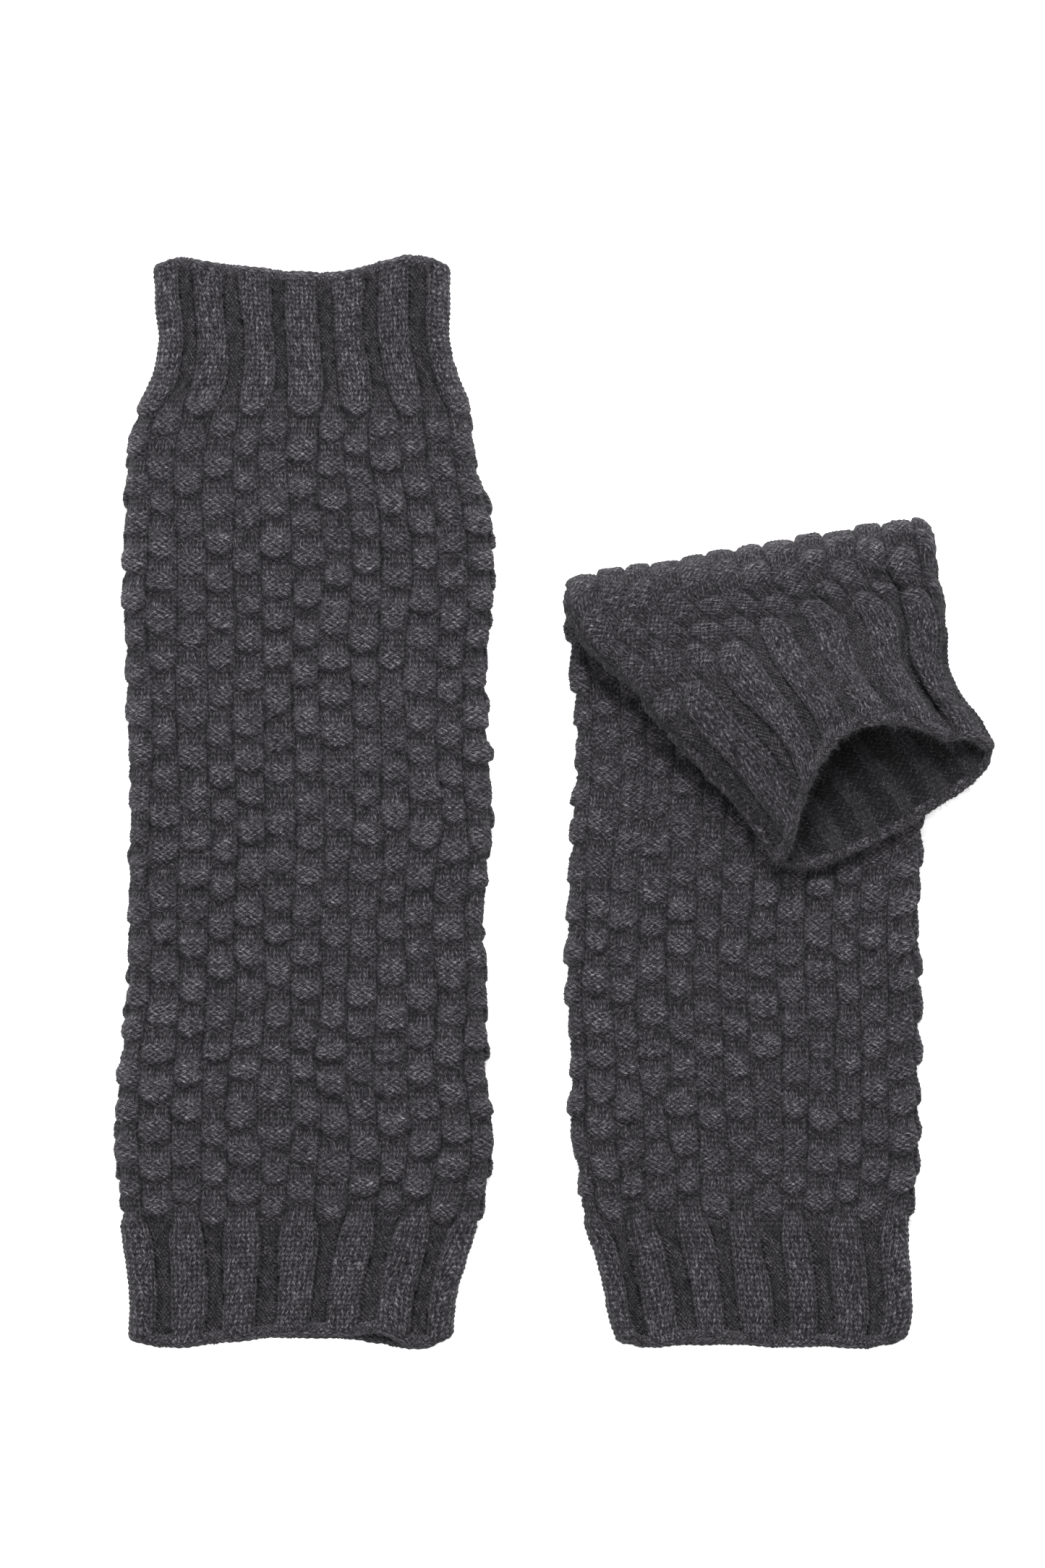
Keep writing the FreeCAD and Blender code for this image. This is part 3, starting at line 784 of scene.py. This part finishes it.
CHARCOAL = ((0.052, 0.0482, 0.055), (0.236, 0.221, 0.244), (0.0112, 0.0102, 0.0118))
bobble_wool = wool("bobble_wool", *CHARCOAL)
rib_wool = wool("rib_wool", *CHARCOAL)
hem_wool = wool("hem_wool", *CHARCOAL)
seam_wool = wool("seam_wool", (0.045, 0.043, 0.048), (0.13, 0.13, 0.14), (0.02, 0.02, 0.022))
loose_fibres = fuzz_material()


# ---------------------------------------------------------------- fuzz
FIBRE = 1.9                 # scale of the loose fibres' lengths
RIB_FIBRES = 16500          # loose fibres on one cuff
HEM_FIBRES = 9000
SEAM_FIBRES = 3000


def add_fuzz(piece, count, seed):
    """Short loose fibres on a piece."""
    piece.data.materials.append(loose_fibres)
    piece.modifiers.new("fuzz", "PARTICLE_SYSTEM")
    system = piece.particle_systems[0]
    system.seed = seed
    hair = system.settings
    hair.type = "HAIR"
    hair.count = count
    for steps in ("hair_step", "display_step", "render_step"):
        setattr(hair, steps, 3)
    hair.use_advanced_hair = True
    hair.emit_from = "FACE"
    hair.distribution = "RAND"
    hair.use_modifier_stack = True
    hair.normal_factor = FIBRE * MM * 0.13
    hair.factor_random = FIBRE * MM * 0.27
    hair.length_random = 0.7
    hair.root_radius = 0.034
    hair.tip_radius = 0.014
    hair.radius_scale = MM
    hair.material_slot = loose_fibres.name


# ---------------------------------------------------------------- the pieces
def flap_pressed(glove, large):
    """The right glove's relief is pressed where its layers lie on each other, and slack on the flap."""
    x, y, z = (glove.base[..., k] for k in range(3))
    facing_down = glove.normals[..., 2] < 0
    near_flap = y > -20
    pressed = near_flap & (z > 6) & (z < 14) & (facing_down | (z < FOLD_Z))
    slack = near_flap & ~facing_down & (z > FOLD_Z + 4) & (glove.along > HAND_CUFF + 8)
    soften = 0.42 + 0.40 * smoothstep(x + 0.6 * y, 40, 120)
    on_bend = near_flap & ~facing_down & (z > 6) & (glove.along > HAND_CUFF + 8) & (y > 45)
    flap_cuff = near_flap & (z > FOLD_Z + 2) & (glove.along < HAND_CUFF + 9)
    rest = np.where(on_bend, 0.72, np.where(flap_cuff, 0.74, 0.9))
    return large * np.where(pressed, 0.62, np.where(slack, soften, rest))


left = Glove(left_base, seed=21)
right = Glove(right_base, seed=47, first_rib=RIGHT_FIRST_RIB, shape=flap_pressed)


def dress(piece, material, fibres, seed):
    """Material and fuzz of a knitted piece."""
    piece.data.materials.append(material)
    add_fuzz(piece, fibres, seed)


def cuff_edge(glove, name, end, body, seed):
    """Rolled hem of one cuff."""
    hem = hem_roll(glove, f"{name}_hem_roll", end == "hand")
    dress(hem, hem_wool, HEM_FIBRES, seed)
    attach(hem, body)
    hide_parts(f"{name}_hem")
    return hem


def inside_seam(glove, name, turn, start, end):
    """Linking seam of one half of a glove."""
    seam = seam_chain(glove, f"{name}_seam_chain", turn, start, end)
    dress(seam, seam_wool, SEAM_FIBRES, 40)
    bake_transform(seam)
    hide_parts(f"{name}_seam")
    return seam


BEND_END = 116.0            # along, where the right glove's bending stretch meets its rigid sleeve
SEAM_INSET = 5.0            # the seam stops short of the rims


def build_left():
    """The flat glove's pieces."""
    joint = next(j for j in frame["joints"] if j["name"] == "left_fold")
    x, y, z = joint["pos_m"]
    cuff = knit_piece(left, "left_hand_cuff_knit", 0, HAND_CUFF)
    sleeve = knit_piece(left, "left_sleeve_knit", HAND_CUFF, ARM_CUFF)
    arm = knit_piece(left, "left_arm_cuff_knit", ARM_CUFF, LENGTH)
    dress(cuff, rib_wool, RIB_FIBRES, 1)
    dress(sleeve, bobble_wool, 125000, 2)
    dress(arm, rib_wool, RIB_FIBRES, 3)
    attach(cuff, "left_flap")
    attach(arm, "left_sleeve")
    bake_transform(sleeve)
    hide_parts("left_hand_cuff")
    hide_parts("left_upper_sleeve", "left_lower_sleeve")
    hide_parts("left_arm_cuff")
    hand_hem = cuff_edge(left, "left_hand", "hand", "left_flap", 31)
    arm_hem = cuff_edge(left, "left_arm", "arm", "left_sleeve", 32)
    fold_at = HALF - y / MM
    seams = [inside_seam(left, "left_hand", 0.5, SEAM_INSET, fold_at),
             inside_seam(left, "left_arm", 0.5, fold_at, LENGTH - SEAM_INSET)]


def build_right():
    """The folded glove's pieces."""
    cuff = knit_piece(right, "right_hand_cuff_knit", 0, HAND_CUFF)
    bend = knit_piece(right, "right_upper_sleeve_knit", HAND_CUFF, BEND_END)
    sleeve = knit_piece(right, "right_lower_sleeve_knit", BEND_END, ARM_CUFF)
    arm = knit_piece(right, "right_arm_cuff_knit", ARM_CUFF, LENGTH)
    dress(cuff, rib_wool, RIB_FIBRES, 4)
    dress(bend, bobble_wool, 42000, 5)
    dress(sleeve, bobble_wool, 79000, 6)
    dress(arm, rib_wool, RIB_FIBRES, 7)
    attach(cuff, "right_flap")
    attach(sleeve, "right_sleeve")
    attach(arm, "right_sleeve")
    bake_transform(bend)
    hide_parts("right_hand_cuff")
    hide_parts("right_upper_sleeve")
    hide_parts("right_lower_sleeve")
    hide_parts("right_arm_cuff")
    hand_hem = cuff_edge(right, "right_hand", "hand", "right_flap", 33)
    arm_hem = cuff_edge(right, "right_arm", "arm", "right_sleeve", 34)
    seams = [inside_seam(right, "right_hand", 0, SEAM_INSET, BEND_END),
             inside_seam(right, "right_arm", 0, BEND_END, LENGTH - SEAM_INSET)]


build_left()
build_right()


# ---------------------------------------------------------------- floor, light and camera
def make_floor():
    """White sweep that the gloves lie on."""
    mesh = bpy.data.meshes.new("table_top")
    size = 6.0
    corners = [(-size, -size, 0), (size, -size, 0), (size, size, 0), (-size, size, 0)]
    mesh.from_pydata(corners, [], [(0, 1, 2, 3)])
    floor = bpy.data.objects.new("table_top", mesh)
    bpy.context.scene.collection.objects.link(floor)
    material = bpy.data.materials.new("white_sweep")
    material.use_nodes = True
    shader = material.node_tree.nodes["Principled BSDF"]
    shader.inputs["Base Color"].default_value = (0.93, 0.93, 0.93, 1)
    shader.inputs["Roughness"].default_value = 0.9
    shader.inputs["Specular IOR Level"].default_value = 0.1
    shader.inputs["Emission Color"].default_value = (1, 1, 1, 1)
    shader.inputs["Emission Strength"].default_value = 0.75
    mesh.materials.append(material)


def add_area_light(name, place, size, power):
    """Soft light that faces the origin."""
    light = bpy.data.lights.new(name, "AREA")
    light.shape = "RECTANGLE"
    light.size, light.size_y = size
    light.energy = power
    lamp = bpy.data.objects.new(name, light)
    bpy.context.scene.collection.objects.link(lamp)
    lamp.location = place
    lamp.rotation_euler = (-Vector(place)).to_track_quat("-Z", "Y").to_euler()


def make_studio():
    """Even white surroundings, a key light beyond the hand ends and a weak fill."""
    world = bpy.data.worlds.new("studio")
    bpy.context.scene.world = world
    world.use_nodes = True
    background = world.node_tree.nodes["Background"]
    background.inputs["Color"].default_value = (1, 1, 1, 1)
    background.inputs["Strength"].default_value = 0.45
    add_area_light("key", (0.1, 1.15, 1.25), (0.8, 0.8), 33)
    add_area_light("fill", (-0.9, -0.4, 1.3), (1.2, 1.2), 7)


def make_camera():
    """Camera straight above, so far away that it sees almost without perspective."""
    camera = bpy.data.cameras.new("camera")
    body = bpy.data.objects.new("camera", camera)
    bpy.context.scene.collection.objects.link(body)
    distance = 4.0
    frame_height = 0.4336
    camera.sensor_fit = "VERTICAL"
    camera.sensor_height = 24.0
    camera.lens = camera.sensor_height * distance / frame_height
    camera.clip_end = 50
    body.location = (-0.0094, 0.0050, distance)
    body.rotation_euler = (0, 0, 0)
    bpy.context.scene.camera = body


make_floor()
make_studio()
make_camera()
bpy.context.scene.view_settings.view_transform = "Standard"
